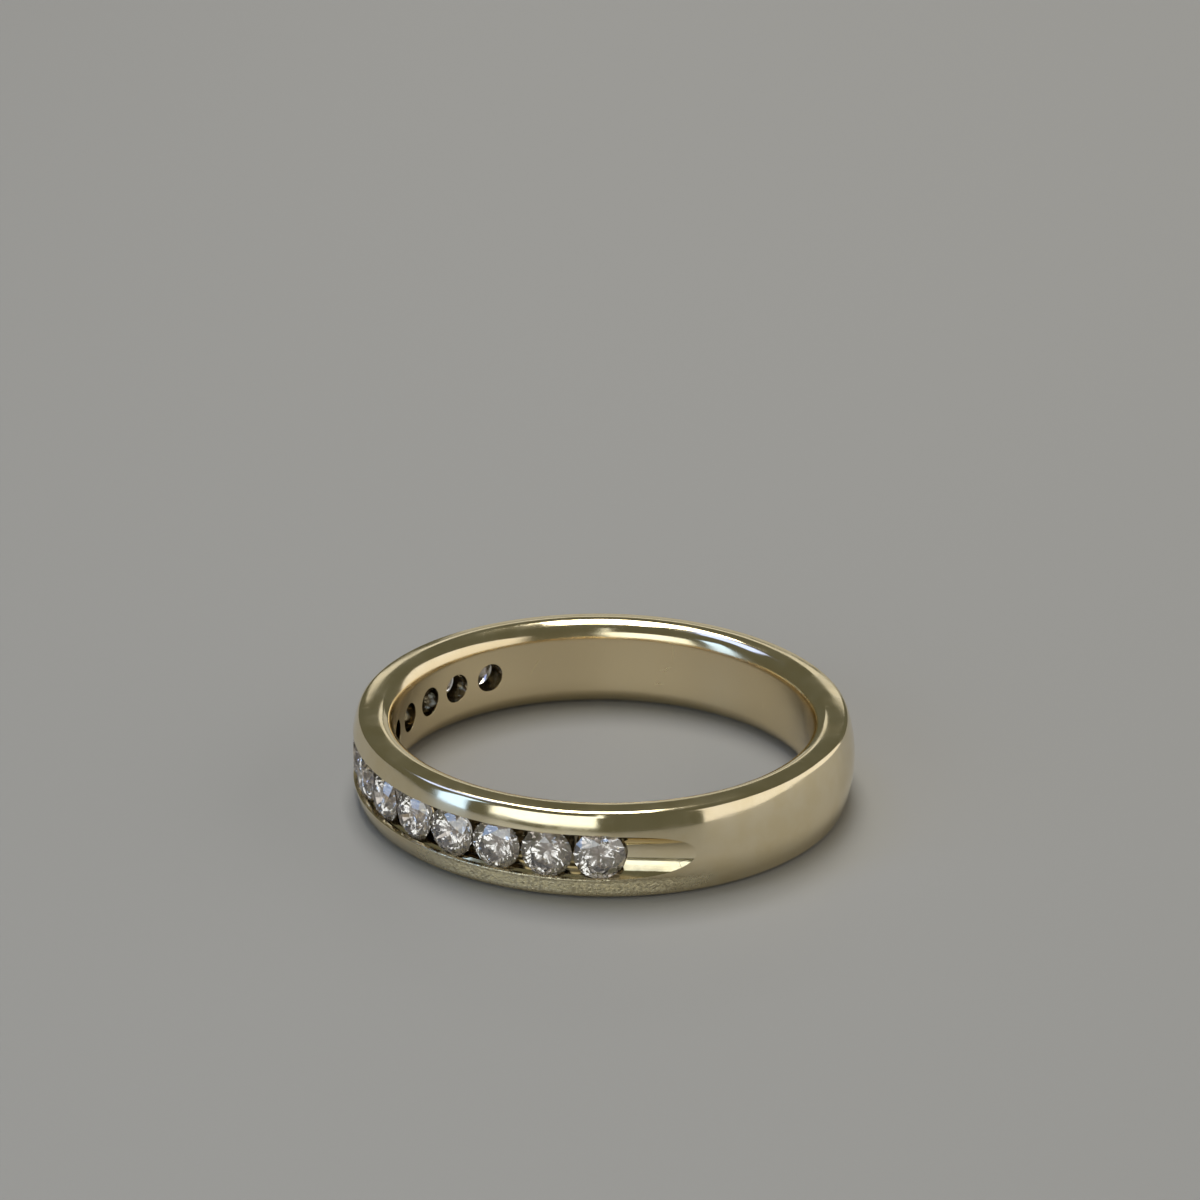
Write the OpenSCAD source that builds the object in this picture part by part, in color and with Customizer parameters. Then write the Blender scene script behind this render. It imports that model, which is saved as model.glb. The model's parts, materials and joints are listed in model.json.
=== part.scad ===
// Channel set band, lying on its side.
// The origin is on the ring's axis at the surface it rests on, and the middle stone faces -Y.

/* [Ring] */
// Diameter of the finger bore
bore_d = 17.3; // [15:0.1:21]
// Thickness of the band from the bore to the crown of its outside
band_t = 1.8; // [1.6:0.05:2.4]
// Width of the band, which is its height as it lies
band_w = 3.84; // [3.5:0.02:5]

/* [Profile] */
// Radius of the comfort rounding at both edges of the bore
comfort_r = 0.78; // [0.4:0.02:1]
// Width of the flat at the top and at the bottom, on which the ring rests
rest_flat = 0.15; // [0.1:0.01:0.3]
// Slope of the rim faces from the flats down to the outer corners, in degrees
rim_slope = 9; // [0:0.5:12]
// Radius of both outer corners
corner_r = 0.28; // [0.15:0.01:0.4]
// Radius of the shallow dome across the outside
dome_r = 5.1; // [4:0.1:12]

/* [Stones] */
// Diameter of a round brilliant
stone_d = 2.09; // [1.8:0.01:2.2]
// Space between the girdles of neighbouring stones
stone_gap = 0.04; // [0.03:0.01:0.2]
// Depth of the tables below the crown of the band
table_depth = 0.1; // [0.05:0.01:0.2]
// Thickness of a girdle
girdle_t = 0.05; // [0.03:0.01:0.08]
// Slope of the main crown facets, in degrees
crown_angle = 34; // [30:1:37]
// Slope of the main pavilion facets, in degrees
pavilion_angle = 41; // [39:0.5:43]
// Width of a table as a share of its stone
table_share = 0.57; // [0.5:0.01:0.64]

/* [Channel] */
// Overlap of each rail on the edge of a stone
rail_lip = 0.085; // [0.04:0.005:0.15]
// Width of the bevel along the inner edge of each rail
edge_break = 0.04; // [0.02:0.01:0.08]
// Diameter of the azure hole through the bore behind each stone
azure_d = 1.25; // [0.8:0.05:1.4]
// Space between an end stone and the round end of the channel
end_gap = 0.12; // [0.05:0.01:0.3]
// Length of a run-out, from the end stone's centre to its tip
runout_l = 3.9; // [3:0.1:4.5]

/* [Fits] */
// Clearance between a stone and the bearing cut for it in the rails
seat_clear = 0.025; // [0.02:0.005:0.05]
// Clearance between a pavilion and the edge of its azure hole
pavilion_clear = 0.1; // [0.05:0.01:0.2]

/* [Hidden] */
$fn = 96;
stone_count = 13;
function stone_name(i) = str("stone_", i < 10 ? "0" : "", i);

gold = [0.80, 0.71, 0.48];
diamond = [0.86, 0.88, 0.92];

// Direction of the middle stone, and the turn of each stone about its own axis from the last
front = 270;
stone_turn = 17;
// How far a cutter runs past the metal, and how far one cut stays inside another
past = 1;
inset = 0.01;

// Band: radii from the ring's axis, heights from its middle plane
bore_r = bore_d / 2;
outer_r = bore_r + band_t;
half_w = band_w / 2;
dome_x = outer_r - dome_r;
rim_x = bore_r + comfort_r;

// Centre of an outer corner, which touches the dome from inside and the sloping rim face from below
flat_end = rim_x + rest_flat;
corner_off = flat_end * sin(rim_slope) + half_w * cos(rim_slope) - corner_r;
corner_run = dome_x * cos(rim_slope)
    + sqrt(pow(dome_r - corner_r, 2) - pow(corner_off - dome_x * sin(rim_slope), 2));
corner_x = corner_off * sin(rim_slope) + corner_run * cos(rim_slope);
corner_z = corner_off * cos(rim_slope) - corner_run * sin(rim_slope);
// Slope of the dome where the corner touches it
corner_angle = atan2(corner_z, corner_x - dome_x);

// Stone: radii from its own axis, heights outwards from the middle of its girdle
main_count = 8;
half_step = 180 / main_count;
stone_r = stone_d / 2;
table_r = stone_r * table_share;
girdle_h = girdle_t / 2;
table_h = girdle_h + (stone_r - table_r) * tan(crown_angle);
culet_h = girdle_h + stone_r * tan(pavilion_angle);
// Where the star facets and the lower half facets meet the mains
star_r = (table_r * cos(half_step) + stone_r) / 2;
star_h = girdle_h + (stone_r - star_r * cos(half_step)) * tan(crown_angle);
lower_r = stone_r * 0.23;
lower_h = girdle_h + (stone_r - lower_r * cos(half_step)) * tan(pavilion_angle);

// Row of stones along the band
girdle_r = outer_r - table_depth - table_h;
pitch = 2 * atan((stone_d + stone_gap) / 2 / girdle_r);
end_angle = (stone_count - 1) / 2 * pitch;

// Channel: the opening between the rails, the bearing that holds the girdles, and the floor
opening_hw = stone_r - rail_lip;
rail_r = dome_x + sqrt(pow(dome_r, 2) - pow(opening_hw, 2));
bearing_in = girdle_r - girdle_h - seat_clear;
bearing_out = girdle_r + girdle_h + seat_clear;
lip_in = bearing_in - (rail_lip + seat_clear) * tan(pavilion_angle);
lip_out = bearing_out + (rail_lip + seat_clear) * tan(crown_angle);
azure_r = azure_d / 2;
floor_r = bearing_in - (stone_r - azure_r + pavilion_clear) * tan(pavilion_angle);

// Round end of the channel, centred a little past the end stone
close_r = opening_hw - inset;
close_angle = atan((stone_r + end_gap - close_r) / girdle_r);

// Run-out: a straight round-bottomed trough, nearly as wide as the opening where it leaves the channel
trough_foot = sqrt(pow(outer_r, 2) - pow(runout_l, 2));
trough_start = trough_foot * sin(close_angle);
trough_h = sqrt(pow(rail_r, 2) - pow(trough_start, 2)) - trough_foot;
trough_r = (pow(close_r - inset, 2) + pow(trough_h, 2)) / (2 * trough_h);

function stone_angle(i) = front + (i - (stone_count + 1) / 2) * pitch;

// Points round a stone's axis at one radius and height, from the first angle on
function ring(count, r, h, first) =
    [for (k = [0:count - 1]) let (a = first + k * 360 / count) [r * cos(a), r * sin(a), h]];

// Cross-section of the band: true arcs for the dome, the corners and the comfort rounding
module section() {
    far = outer_r + past;
    far_z = half_w - (far - flat_end) * tan(rim_slope);
    difference() {
        intersection() {
            translate([dome_x, 0]) circle(r = dome_r);
            polygon([
                [bore_r, half_w], [flat_end, half_w], [far, far_z],
                [far, -far_z], [flat_end, -half_w], [bore_r, -half_w]
            ]);
        }
        for (side = [0, 1]) mirror([0, side]) {
            comfort_cut();
            corner_cut();
        }
    }
}

// What the outer corner's rounding takes off where the rim face meets the dome
module corner_cut() {
    reach = corner_r + past;
    difference() {
        polygon([
            [corner_x, corner_z],
            [corner_x + reach * sin(rim_slope), corner_z + reach * cos(rim_slope)],
            [corner_x + 2 * reach, corner_z + 2 * reach],
            [corner_x + reach * cos(corner_angle), corner_z + reach * sin(corner_angle)]
        ]);
        translate([corner_x, corner_z]) circle(r = corner_r);
    }
}

// What the comfort rounding takes off the upper edge of the bore
module comfort_cut() {
    difference() {
        translate([bore_r - past, half_w - comfort_r]) square([past + comfort_r, comfort_r + past]);
        translate([rim_x, half_w - comfort_r]) circle(r = comfort_r);
    }
}

// One side of the channel's outline, from its floor out past the rail, for an opening of a half width
function channel_side(base, half) = let (groove = half + rail_lip + seat_clear) [
    [base, half], [lip_in, half],
    [bearing_in, groove], [bearing_out, groove],
    [lip_out, half], [rail_r - edge_break, half],
    [rail_r + past, half + edge_break + past]
];

module channel() {
    span = end_angle + close_angle;
    side = channel_side(floor_r, opening_hw);
    other = [for (k = [len(side) - 1:-1:0]) [side[k].x, -side[k].y]];
    rotate_extrude(angle = 2 * span, start = front - span) polygon(concat(side, other));
    for (turn = [-span, span]) rotate([0, 0, front + turn]) channel_end();
}

// Round end of the channel about its own radial axis, so that it follows the end stone
module channel_end() {
    base = floor_r + inset;
    side = [for (p = channel_side(base, close_r)) [p.y, p.x]];
    rotate([0, 90, 0]) rotate_extrude() polygon(concat([[0, base]], side, [[0, rail_r + past]]));
}

module azure_hole(angle) {
    rotate([0, 0, angle]) translate([bore_r - past, 0, 0]) rotate([0, 90, 0])
        cylinder(r = azure_r, h = bearing_in - bore_r + past);
}

// Trough beyond the last stone at one end of the row, side 1 or -1
module run_out(side) {
    rotate([0, 0, front + side * end_angle]) mirror([0, side < 0 ? 1 : 0, 0])
        translate([trough_foot + trough_r, trough_start, 0]) rotate([-90, 0, 0])
            cylinder(r = trough_r, h = runout_l - trough_start + past);
}

module band() {
    color(gold) translate([0, 0, half_w]) difference() {
        rotate_extrude() section();
        channel();
        for (i = [1:stone_count]) azure_hole(stone_angle(i));
        for (side = [-1, 1]) run_out(side);
    }
}

// Round brilliant: table, stars, bezels and upper halves, girdle, lower halves and mains to a point
module brilliant() {
    table = ring(main_count, table_r, table_h, 0);
    stars = ring(main_count, star_r, star_h, half_step);
    upper = ring(2 * main_count, stone_r, girdle_h, 0);
    lower = ring(2 * main_count, stone_r, -girdle_h, 0);
    halves = ring(main_count, lower_r, -lower_h, half_step);
    culet = [[0, 0, -culet_h]];
    // Index of the first point of each ring
    s = main_count;
    u = s + main_count;
    l = u + 2 * main_count;
    h = l + 2 * main_count;
    c = h + main_count;
    n = main_count;
    m = 2 * main_count;
    faces = concat(
        [[for (k = [n - 1:-1:0]) k]],
        [for (k = [0:n - 1]) [k, (k + 1) % n, s + k]],
        [for (k = [0:n - 1]) [k, s + k, u + 2 * k, s + (k + n - 1) % n]],
        [for (k = [0:n - 1]) [s + k, u + 2 * k + 1, u + 2 * k]],
        [for (k = [0:n - 1]) [s + k, u + (2 * k + 2) % m, u + 2 * k + 1]],
        [for (k = [0:m - 1]) [u + k, u + (k + 1) % m, l + (k + 1) % m, l + k]],
        [for (k = [0:n - 1]) [l + 2 * k, l + 2 * k + 1, h + k]],
        [for (k = [0:n - 1]) [l + 2 * k + 1, l + (2 * k + 2) % m, h + k]],
        [for (k = [0:n - 1]) [l + 2 * k, h + k, c, h + (k + n - 1) % n]]
    );
    polyhedron(points = concat(table, stars, upper, lower, halves, culet), faces = faces);
}

// Stone i of the row, its table facing outwards
module stone(i) {
    color(diamond) translate([0, 0, half_w]) rotate([0, 0, stone_angle(i)])
        translate([girdle_r, 0, 0]) rotate([0, 90, 0]) rotate([0, 0, i * stone_turn]) brilliant();
}

band();
for (i = [1:stone_count]) stone(i);
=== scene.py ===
"""Looks of a channel set band that lies on its side: gold, stones, floor, light and camera."""

import json
import math

import bpy
import numpy as np
from mathutils import Matrix, Vector


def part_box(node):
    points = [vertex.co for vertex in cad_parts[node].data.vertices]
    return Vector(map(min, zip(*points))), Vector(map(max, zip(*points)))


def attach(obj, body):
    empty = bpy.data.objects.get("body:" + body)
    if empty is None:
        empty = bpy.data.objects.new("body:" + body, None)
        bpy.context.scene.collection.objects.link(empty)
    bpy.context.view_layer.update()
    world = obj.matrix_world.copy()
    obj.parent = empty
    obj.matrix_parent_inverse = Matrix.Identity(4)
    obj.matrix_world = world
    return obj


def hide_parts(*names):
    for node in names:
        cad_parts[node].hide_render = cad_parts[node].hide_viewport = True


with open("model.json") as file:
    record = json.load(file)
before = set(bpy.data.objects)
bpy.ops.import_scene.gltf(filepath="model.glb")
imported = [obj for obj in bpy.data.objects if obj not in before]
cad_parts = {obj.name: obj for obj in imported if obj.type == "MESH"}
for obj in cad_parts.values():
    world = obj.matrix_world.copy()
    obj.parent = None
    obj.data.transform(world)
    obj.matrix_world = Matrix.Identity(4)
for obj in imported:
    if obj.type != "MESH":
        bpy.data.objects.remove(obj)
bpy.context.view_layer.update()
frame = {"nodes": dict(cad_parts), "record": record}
nodes = frame["nodes"]
MM = 0.001
STONES = sorted(name for name in nodes if name.startswith("stone_"))

# Band: radii from the ring's axis, heights from its middle plane
BAND_POINTS = np.array([v.co for v in nodes["band"].data.vertices])
OUTER_R = np.hypot(BAND_POINTS[:, 0], BAND_POINTS[:, 1]).max()
HALF_W = np.ptp(BAND_POINTS[:, 2]) / 2
BORE = next(mount for mount in frame["record"]["mounts"] if mount["name"] == "finger_bore")
BORE_R = BORE["dims"]["r_mm"] * MM
COMFORT_R = 0.78 * MM
REST_FLAT = 0.15 * MM
RIM_SLOPE = 9
CORNER_R = 0.28 * MM
DOME_R = 5.1 * MM

# Stones and the channel that holds them
STONE_R = 2.09 * MM / 2
GIRDLE_H = 0.05 * MM / 2
CROWN_SLOPE = math.tan(math.radians(34))
PAVILION_SLOPE = math.tan(math.radians(41))
TABLE_R = STONE_R * 0.57
TABLE_DEPTH = 0.1 * MM
RAIL_LIP = 0.085 * MM
EDGE_BREAK = 0.04 * MM
AZURE_R = 1.25 * MM / 2
END_GAP = 0.12 * MM
RUNOUT_L = 3.9 * MM
SEAT_CLEAR = 0.025 * MM
PAVILION_CLEAR = 0.1 * MM
# How far a cutter runs past the metal, and how far one cut stays inside another
PAST = 1 * MM
INSET = 0.01 * MM

# Radii and half widths that follow from these
GIRDLE_R = OUTER_R - TABLE_DEPTH - GIRDLE_H - (STONE_R - TABLE_R) * CROWN_SLOPE
OPENING_HW = STONE_R - RAIL_LIP
RAIL_R = OUTER_R - DOME_R + math.sqrt(DOME_R ** 2 - OPENING_HW ** 2)
BEARING_IN = GIRDLE_R - GIRDLE_H - SEAT_CLEAR
BEARING_OUT = GIRDLE_R + GIRDLE_H + SEAT_CLEAR
FLOOR_R = BEARING_IN - (STONE_R - AZURE_R + PAVILION_CLEAR) * PAVILION_SLOPE
CLOSE_R = OPENING_HW - INSET
CLOSE_ANGLE = math.degrees(math.atan((STONE_R + END_GAP - CLOSE_R) / GIRDLE_R))

# Steps of the band's mesh
STEPS_ROUND = 480
STEPS_DOME = 24
STEPS_CORNER = 20
STEPS_COMFORT = 22
STEPS_HOLE = 72
STEPS_TROUGH = 160
# Sharpest bend between two faces that is still shaded as one surface, in degrees
SMOOTH_ANGLE = 20

# Colours
GOLD = (0.90, 0.77, 0.50)
GOLD_LIGHT = (0.91, 0.79, 0.54)
GOLD_DEEP = (0.87, 0.74, 0.47)
# Lighter tint of the worn rail: real wear, with a painted sheen on top
GOLD_WORN_SHEEN = (1.0, 0.92, 0.64)
# Deeper tone in the bore: painted shade
GOLD_BORE_SHADE = (0.87, 0.72, 0.45)
# Near black, painted as shade into recesses
PAINTED_SHADE_COLOUR = (0.10, 0.08, 0.05)
DIAMOND = (1.0, 0.93, 0.85)
INCLUSIONS = (0.98, 0.84, 0.73)
FLOOR = (0.34, 0.33, 0.313)
SURROUNDINGS = (0.11, 0.11, 0.08)

# Surfaces
DIAMOND_IOR = 2.417
SOFT_EDGE = 0.03 * MM
# How far the painted shade in recesses looks for nearby metal
PAINTED_SHADE_REACH = 0.35 * MM
FLOOR_ROUGHNESS = 0.5
FLOOR_REACH = 600 * MM
# Middle of the pitted stretch of the lower rail, in degrees round the band
WORN_AZIMUTH = 333

# The photograph's view: azimuth and elevation of the camera from the ring's centre, in degrees
VIEW_AZIMUTH = 343.25
VIEW_ELEVATION = 24.75
VIEW_ROLL = 0.619
VIEW_DISTANCE = 190 * MM
# Focal length in pixels, and where the ring's centre falls in the picture
PICTURE = 1200
FOCAL_PX = 4573.9
CENTRE_PX = (602.79, 748.71)
SENSOR = 36

# Lights: their azimuths are from the picture's right, as seen from the ring, in degrees
TURN_TO_VIEW = VIEW_AZIMUTH - 270
PANEL_DISTANCE = 0.5
# Power per area and unit of radiance of an area light
POWER_PER_RADIANCE = 4.0


def direction(azimuth, elevation):
    """Unit vector towards an azimuth and elevation in degrees."""
    a, e = math.radians(azimuth), math.radians(elevation)
    return Vector((math.cos(a) * math.cos(e), math.sin(a) * math.cos(e), math.sin(e)))


def make_camera():
    """Camera of the photograph, turned so that the ring's centre falls where it is in the picture."""
    centre = Vector((0, 0, HALF_W))
    camera = bpy.data.objects.new("camera", bpy.data.cameras.new("camera"))
    bpy.context.scene.collection.objects.link(camera)
    towards = direction(VIEW_AZIMUTH, VIEW_ELEVATION)
    level = (-towards).to_track_quat("-Z", "Y").to_matrix()
    roll = Matrix.Rotation(math.radians(VIEW_ROLL), 3, "Z")
    ray = Vector((CENTRE_PX[0] - PICTURE / 2, PICTURE / 2 - CENTRE_PX[1], -FOCAL_PX))
    aim = ray.rotation_difference(Vector((0, 0, -1))).to_matrix()
    turn = (level @ roll @ aim).to_4x4()
    camera.matrix_world = Matrix.Translation(centre + towards * VIEW_DISTANCE) @ turn
    camera.data.sensor_width = SENSOR
    camera.data.lens = FOCAL_PX * SENSOR / PICTURE
    camera.data.clip_start = 10 * MM
    camera.data.clip_end = 10
    bpy.context.scene.camera = camera


def arc(centre, radius, first, last, steps):
    """Points of an arc in a plane, angles in degrees."""
    turns = np.radians(np.linspace(first, last, steps + 1))
    return [(centre[0] + radius * math.cos(t), centre[1] + radius * math.sin(t)) for t in turns]


def band_section():
    """Closed outline of the band, radius and height: dome, corners, sloping rims, flats, comfort rounding."""
    slope = math.radians(RIM_SLOPE)
    dome_x = OUTER_R - DOME_R
    comfort = (BORE_R + COMFORT_R, HALF_W - COMFORT_R)
    flat_end = comfort[0] + REST_FLAT
    # The corner's centre lies one way off the rim face and another way along it
    off = flat_end * math.sin(slope) + HALF_W * math.cos(slope) - CORNER_R
    run = math.sqrt((DOME_R - CORNER_R) ** 2 - (off - dome_x * math.sin(slope)) ** 2)
    run += dome_x * math.cos(slope)
    corner_x = off * math.sin(slope) + run * math.cos(slope)
    corner_z = off * math.cos(slope) - run * math.sin(slope)
    turn = math.degrees(math.atan2(corner_z, corner_x - dome_x))
    upper = arc((dome_x, 0), DOME_R, 0, turn, STEPS_DOME)[:-1]
    upper += arc((corner_x, corner_z), CORNER_R, turn, 90 - RIM_SLOPE, STEPS_CORNER)
    upper += [(flat_end, HALF_W)]
    upper += arc(comfort, COMFORT_R, 90, 180, STEPS_COMFORT)
    lower = [(r, -z) for r, z in reversed(upper[1:])]
    return upper + [(BORE_R, 0)] + lower


def new_object(name, points, faces):
    mesh = bpy.data.meshes.new(name)
    mesh.from_pydata([tuple(p) for p in points], [], faces)
    piece = bpy.data.objects.new(name, mesh)
    bpy.context.scene.collection.objects.link(piece)
    return piece


def revolve(name, section, steps, first=0.0, span=360.0):
    """Solid of revolution about the ring's axis, whole or, with end faces, over a span in degrees."""
    whole = span == 360
    turns = np.radians(first + np.linspace(0, span, steps + 1))[: steps if whole else None]
    size = len(section)
    points = [(r * math.cos(t), r * math.sin(t), z + HALF_W) for t in turns for r, z in section]
    faces = []
    for i in range(steps):
        here, there = i * size, (i + 1) % len(turns) * size
        for k in range(size):
            n = (k + 1) % size
            faces.append((here + k, there + k, there + n, here + n))
    if not whole:
        faces.append(tuple(range(size)))
        faces.append(tuple(reversed(range(steps * size, (steps + 1) * size))))
    return new_object(name, points, faces)


def lathe(name, side, start, along, steps):
    """Closed solid of revolution about an axis: its side as radii and heights from the start."""
    across = along.cross(Vector((0, 0, 1))).normalized()
    up = along.cross(across)
    points = []
    for r, h in side:
        for t in np.linspace(0, 2 * math.pi, steps, endpoint=False):
            points.append(start + along * h + across * r * math.cos(t) + up * r * math.sin(t))
    faces = []
    for base in range(0, (len(side) - 1) * steps, steps):
        for k in range(steps):
            n = (k + 1) % steps
            faces.append((base + k, base + n, base + steps + n, base + steps + k))
    faces.append(tuple(reversed(range(steps))))
    faces.append(tuple(range(len(points) - steps, len(points))))
    return new_object(name, points, faces)


def stone_azimuth(name):
    low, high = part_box(name)
    return math.degrees(math.atan2(low.y + high.y, low.x + high.x))


def channel_side(base, half):
    """One side of the channel from its floor out past the rail, for an opening of a half width."""
    lip = RAIL_LIP + SEAT_CLEAR
    return [
        (base, half), (BEARING_IN - lip * PAVILION_SLOPE, half),
        (BEARING_IN, half + lip), (BEARING_OUT, half + lip),
        (BEARING_OUT + lip * CROWN_SLOPE, half), (RAIL_R - EDGE_BREAK, half),
        (RAIL_R + PAST, half + EDGE_BREAK + PAST),
    ]


def channel_cutters(middle, end):
    """The channel along the row, and its round ends."""
    span = end + CLOSE_ANGLE
    side = channel_side(FLOOR_R, OPENING_HW)
    outline = [(r, -z) for r, z in side] + list(reversed(side))
    found = [revolve("channel", outline, round(span / 180 * STEPS_ROUND), middle - span, 2 * span)]
    close = [(half, r) for r, half in channel_side(FLOOR_R + INSET, CLOSE_R)]
    centre = Vector((0, 0, HALF_W))
    for turn in (middle - span, middle + span):
        found.append(lathe(f"channel_end_{turn:.0f}", close, centre, direction(turn, 0), STEPS_TROUGH))
    return found


def azure_cutters(turns):
    """A hole from the bore to the bearing behind each stone."""
    hole = [(AZURE_R, BORE_R - PAST), (AZURE_R, BEARING_IN)]
    centre = Vector((0, 0, HALF_W))
    return [lathe(f"azure_{k}", hole, centre, direction(t, 0), STEPS_HOLE) for k, t in enumerate(turns)]


def run_out_cutters(middle, end):
    """A round-bottomed trough that leads out of each end of the channel."""
    foot = math.sqrt(OUTER_R ** 2 - RUNOUT_L ** 2)
    begin = foot * math.sin(math.radians(CLOSE_ANGLE))
    depth = math.sqrt(RAIL_R ** 2 - begin ** 2) - foot
    trough_r = ((CLOSE_R - INSET) ** 2 + depth ** 2) / (2 * depth)
    trough = [(trough_r, begin), (trough_r, RUNOUT_L + PAST)]
    found = []
    for way in (-1, 1):
        out = direction(middle + way * end, 0)
        along = Vector((-out.y, out.x, 0)) * way
        start = Vector((0, 0, HALF_W)) + out * (foot + trough_r)
        found.append(lathe(f"run_out_{way}", trough, start, along, STEPS_TROUGH))
    return found


def cutters():
    turns = [stone_azimuth(name) for name in STONES]
    middle = turns[len(turns) // 2]
    end = (turns[-1] - middle) % 360
    return channel_cutters(middle, end) + azure_cutters(turns) + run_out_cutters(middle, end)


def cut(piece, tools):
    """Cuts each tool out of the piece, and applies the cuts to its mesh."""
    for tool in tools:
        step = piece.modifiers.new(tool.name, "BOOLEAN")
        step.operation = "DIFFERENCE"
        step.solver = "MANIFOLD"
        step.object = tool
    shape = bpy.data.meshes.new_from_object(piece.evaluated_get(bpy.context.evaluated_depsgraph_get()))
    piece.modifiers.clear()
    piece.data = shape
    for tool in tools:
        bpy.data.objects.remove(tool)


def make_band():
    band = revolve("gold_band", band_section(), STEPS_ROUND)
    cut(band, cutters())
    band.data.shade_smooth()
    band.data.set_sharp_from_angle(angle=math.radians(SMOOTH_ANGLE))
    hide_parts("band")
    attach(band, "root")
    return band


def add(tree, kind, sockets=None, **settings):
    """Adds a shader node, with its settings and its inputs as constants or links."""
    node = tree.nodes.new("ShaderNode" + kind)
    for name, value in settings.items():
        setattr(node, name, value)
    for key, value in (sockets or {}).items():
        if isinstance(value, bpy.types.NodeSocket):
            tree.links.new(value, node.inputs[key])
        else:
            node.inputs[key].default_value = value
    return node


def calc(tree, operation, *values):
    return add(tree, "Math", dict(enumerate(values)), operation=operation).outputs[0]


def times(tree, first, *others):
    for value in others:
        first = calc(tree, "MULTIPLY", first, value)
    return first


def plus(tree, first, *others):
    for value in others:
        first = calc(tree, "ADD", first, value)
    return first


def noise(tree, vector, scale, detail=2.0, roughness=0.5):
    sockets = {"Vector": vector, "Scale": scale, "Detail": detail, "Roughness": roughness}
    return add(tree, "TexNoise", sockets).outputs[0]


def ramp(tree, value, low, high, to_low=0.0, to_high=1.0):
    """Smooth step between two values."""
    sockets = {"Value": value, "From Min": low, "From Max": high, "To Min": to_low, "To Max": to_high}
    return add(tree, "MapRange", sockets, interpolation_type="SMOOTHSTEP").outputs[0]


def blend(tree, share, low, high):
    """Mixes two colours, the first of which may be a link."""
    mix = add(tree, "Mix", {0: share}, data_type="RGBA")
    if isinstance(low, bpy.types.NodeSocket):
        tree.links.new(low, mix.inputs[6])
    else:
        mix.inputs[6].default_value = (*low, 1)
    mix.inputs[7].default_value = (*high, 1)
    return mix.outputs[2]


def principled(name, colour, roughness, metallic=0.0):
    material = bpy.data.materials.new(name)
    material.use_nodes = True
    shader = material.node_tree.nodes["Principled BSDF"]
    shader.inputs["Base Color"].default_value = (*colour, 1)
    shader.inputs["Roughness"].default_value = roughness
    shader.inputs["Metallic"].default_value = metallic
    return material, shader


def position(tree):
    """Position on the piece in millimetres: a vector, its x, y and z, and the distance from the axis."""
    spot = add(tree, "TexCoord").outputs["Object"]
    spot = add(tree, "VectorMath", {0: spot, 1: (1 / MM, 1 / MM, 1 / MM)}, operation="MULTIPLY").outputs[0]
    x, y, z = add(tree, "SeparateXYZ", {0: spot}).outputs
    radius = calc(tree, "SQRT", plus(tree, times(tree, x, x), times(tree, y, y)))
    return spot, x, y, z, radius


def hairlines(tree, x, y, z, radius):
    """Fine lines that run round the band."""
    across = plus(tree, times(tree, z, 15), times(tree, radius, 15))
    sockets = {0: times(tree, x, 0.35), 1: times(tree, y, 0.35), 2: across}
    return noise(tree, add(tree, "CombineXYZ", sockets).outputs[0], 1, 2)


def scratches(tree, spot, turn, scale, width):
    """Straight fine lines: the walls between random cells, broken up by noise."""
    moved = add(tree, "Mapping", {"Vector": spot, "Location": turn, "Rotation": turn}).outputs[0]
    sockets = {"Vector": moved, "Scale": scale}
    edge = add(tree, "TexVoronoi", sockets, feature="DISTANCE_TO_EDGE").outputs["Distance"]
    broken = ramp(tree, noise(tree, moved, 1.4, 2), 0.52, 0.64)
    return times(tree, ramp(tree, edge, 0, width, 1, 0), broken)


def wear_and_sheen(tree, x, y, z, radius):
    """Share of wear and of a painted lighter sheen: the outside of the lower rail, where the stones are."""
    middle = direction(WORN_AZIMUTH, 0)
    front = plus(tree, times(tree, x, middle.x), times(tree, y, middle.y))
    front = ramp(tree, calc(tree, "DIVIDE", front, radius), 0.74, 0.97)
    low = times(tree, ramp(tree, z, 0.1, 0.5), ramp(tree, z, 0.75, 1.1, 1, 0))
    return times(tree, front, low, ramp(tree, radius, 10.0, 10.15))


def relief(tree, spot, hairs, marks, worn_and_sheen):
    """Normal of the surface, from heights in thousandths of a millimetre, with its edges softened."""
    pits = times(tree, worn_and_sheen, noise(tree, spot, 8, 2, 0.6))
    height = plus(tree, times(tree, noise(tree, spot, 0.45, 1), 12), times(tree, hairs, 0.5))
    height = plus(tree, height, times(tree, marks, -0.5), times(tree, pits, -85))
    soft = add(tree, "Bevel", {"Radius": SOFT_EDGE}, samples=6).outputs[0]
    sockets = {"Strength": 1.0, "Distance": 0.001 * MM, "Height": height, "Normal": soft}
    return add(tree, "Bump", sockets).outputs[0]


def painted_shade(tree, z, radius):
    """Share of painted shade: darkening in the azure holes, on the channel's floor and in tight corners."""
    # Painted shade in the azure holes and on the channel's floor, fading out towards the rims
    recess_shade = times(tree, ramp(tree, radius, 8.67, 8.72), ramp(tree, radius, 9.64, 9.74, 1, 0))
    level = calc(tree, "ABSOLUTE", plus(tree, z, -HALF_W / MM))
    recess_shade = times(tree, recess_shade, ramp(tree, level, 0.97, 1.0, 0.8, 0))
    # Painted shade where nearby metal hides the light
    occlusion_shade = add(tree, "AmbientOcclusion", {"Distance": PAINTED_SHADE_REACH}, samples=6, only_local=True).outputs["AO"]
    return calc(tree, "MAXIMUM", recess_shade, ramp(tree, occlusion_shade, 0.25, 0.7, 0.92, 0))


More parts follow.
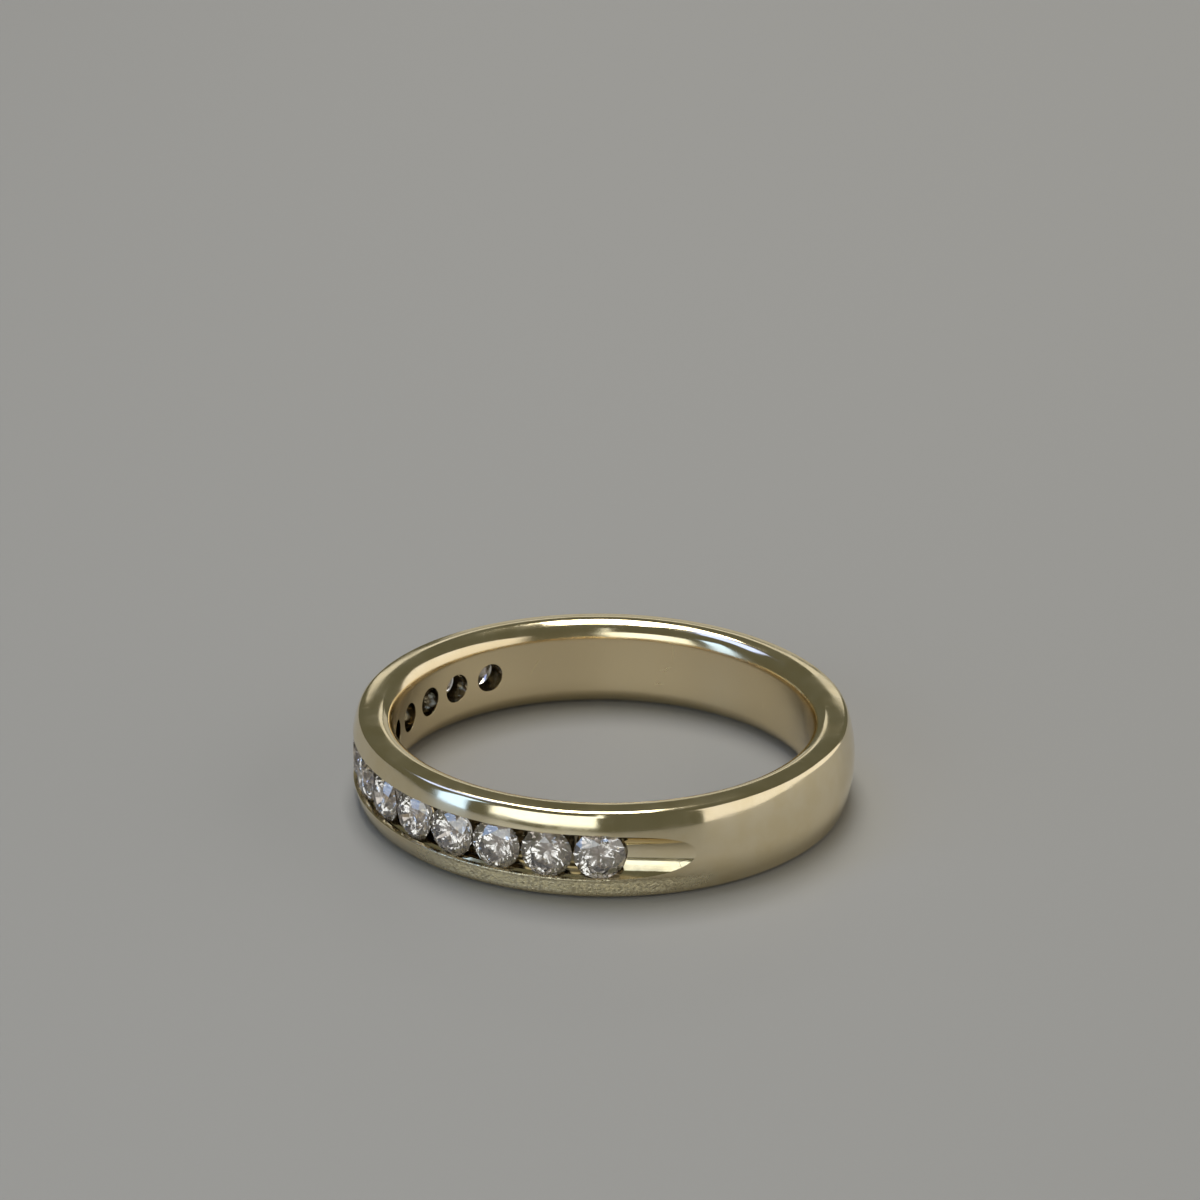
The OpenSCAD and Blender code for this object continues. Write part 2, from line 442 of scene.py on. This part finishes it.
def gold_material():
    """Polished yellow gold with hairlines round the band, stray scratches and a pitted lower rail, with a
    painted sheen on that rail and painted shade in the bore and in recesses.
    """
    material, shader = principled("gold", GOLD, 0.12, 1.0)
    tree = material.node_tree
    spot, x, y, z, radius = position(tree)
    marks = scratches(tree, spot, (1.1, 0.7, 2.1), 0.8, 0.012)
    worn_and_sheen = wear_and_sheen(tree, x, y, z, radius)
    normal = relief(tree, spot, hairlines(tree, x, y, z, radius), marks, worn_and_sheen)
    tree.links.new(normal, shader.inputs["Normal"])
    # Matt where it is worn, and less polished in the bore
    rough = ramp(tree, noise(tree, spot, 0.7, 3), 0.3, 0.7, 0.07, 0.15)
    # The matt speckles also carry the worn rail's painted lighter sheen
    matt_and_sheen = times(tree, worn_and_sheen, ramp(tree, noise(tree, spot, 6.5, 3, 0.6), 0.38, 0.58, 0.3, 0.65))
    rough = plus(tree, rough, times(tree, marks, 0.05), matt_and_sheen)
    rough = plus(tree, rough, ramp(tree, radius, 8.66, 8.8, 0.1, 0))
    tree.links.new(rough, shader.inputs["Roughness"])
    # Colour that varies in patches, a painted sheen on the worn rail, painted shade as a deeper tone in the
    # bore, and painted shade in recesses
    patches = ramp(tree, noise(tree, spot, 0.8, 4, 0.6), 0.35, 0.7)
    tint = blend(tree, patches, GOLD_LIGHT, GOLD_DEEP)
    # Painted sheen: the worn rail's speckles get a lighter tint, on top of their real wear
    tint = blend(tree, matt_and_sheen, tint, GOLD_WORN_SHEEN)
    # Painted shade: a deeper tone in the bore
    tint = blend(tree, ramp(tree, radius, 8.66, 8.9, 1, 0), tint, GOLD_BORE_SHADE)
    # Painted shade, near black, in the azure holes, on the channel's floor and in tight corners
    tint = blend(tree, painted_shade(tree, z, radius), tint, PAINTED_SHADE_COLOUR)
    tree.links.new(tint, shader.inputs["Base Color"])
    return material


def diamond_material():
    """Clear cut stone with a cloud of fine inclusions, milkier towards its point."""
    material, shader = principled("diamond", DIAMOND, 0.0)
    shader.inputs["IOR"].default_value = DIAMOND_IOR
    shader.inputs["Transmission Weight"].default_value = 1.0
    tree = material.node_tree
    spot, *_, radius = position(tree)
    cloud = add(tree, "BsdfDiffuse", {"Color": (*INCLUSIONS, 1), "Roughness": 0.3})
    share = ramp(tree, noise(tree, spot, 3.2, 4, 0.65), 0.45, 0.75, 0.02, 0.28)
    share = calc(tree, "MAXIMUM", share, ramp(tree, radius, 9.15, 9.6, 0.34, 0))
    mixed = add(tree, "MixShader", {0: share, 1: shader.outputs[0], 2: cloud.outputs[0]})
    tree.links.new(mixed.outputs[0], tree.nodes["Material Output"].inputs["Surface"])
    return material


def dress(piece, material):
    piece.data.materials.clear()
    piece.data.materials.append(material)


def make_floor():
    far = FLOOR_REACH
    corners = [(-far, -far, 0), (far, -far, 0), (far, far, 0), (-far, far, 0)]
    floor = new_object("floor", corners, [(0, 1, 2, 3)])
    dress(floor, principled("floor", FLOOR, FLOOR_ROUGHNESS)[0])


def panel(name, place, towards, width, height, colour, radiance):
    """Soft panel of light at a place, facing back against a direction."""
    data = bpy.data.lights.new(name, "AREA")
    data.shape = "RECTANGLE"
    data.size, data.size_y = width, height
    data.color = colour
    data.energy = radiance * width * height * POWER_PER_RADIANCE
    light = bpy.data.objects.new(name, data)
    bpy.context.scene.collection.objects.link(light)
    turn = (-towards).to_track_quat("-Z", "Y").to_matrix().to_4x4()
    light.matrix_world = Matrix.Translation(place) @ turn


def wall(name, azimuth, spread, low, high, colour, radiance):
    """Upright panel, as wide as its spread in azimuth, between two elevations."""
    foot, head = (PANEL_DISTANCE * math.tan(math.radians(e)) for e in (low, high))
    towards = direction(azimuth + TURN_TO_VIEW, 0)
    width = 2 * PANEL_DISTANCE * math.tan(math.radians(spread / 2))
    middle = towards * PANEL_DISTANCE + Vector((0, 0, HALF_W + (foot + head) / 2))
    panel(name, middle, towards, width, head - foot, colour, radiance)


def overhead(name, azimuth, elevation, width, height, colour, radiance):
    """Panel that looks straight at the ring from above."""
    towards = direction(azimuth + TURN_TO_VIEW, elevation)
    middle = towards * PANEL_DISTANCE + Vector((0, 0, HALF_W))
    panel(name, middle, towards, width, height, colour, radiance)


def make_lights():
    """The soft light that the gold reflects in the photograph, panel by panel."""
    world = bpy.data.worlds.new("studio")
    world.use_nodes = True
    background = world.node_tree.nodes["Background"]
    background.inputs["Color"].default_value = (*SURROUNDINGS, 1)
    bpy.context.scene.world = world
    wall("right_wall", 0, 90, 0, 42, (1, 0.97, 0.98), 0.66)
    wall("side_window", -159, 15, 0, 42, (0.4, 0.6, 1), 1.7)
    wall("front_left", -116, 47, 4, 35, (0.87, 0.94, 1), 1.35)
    wall("front_post", -91, 3.4, 14, 61, (0.87, 0.94, 1), 1.35)
    wall("far_strip", 84, 24, 2, 14, (1, 0.98, 0.94), 0.26)
    wall("far_line", 88, 26, 16, 22, (1, 0.98, 0.94), 0.5)
    overhead("ceiling", 100, 72, 0.2, 0.34, (1, 0.99, 0.95), 6.0)
    overhead("window", 146, 57, 0.17, 0.18, (0.38, 0.5, 1), 1.7)


make_camera()
make_floor()
make_lights()
dress(make_band(), gold_material())
diamond = diamond_material()
for stone in STONES:
    dress(nodes[stone], diamond)
bpy.context.scene.view_settings.view_transform = "Standard"
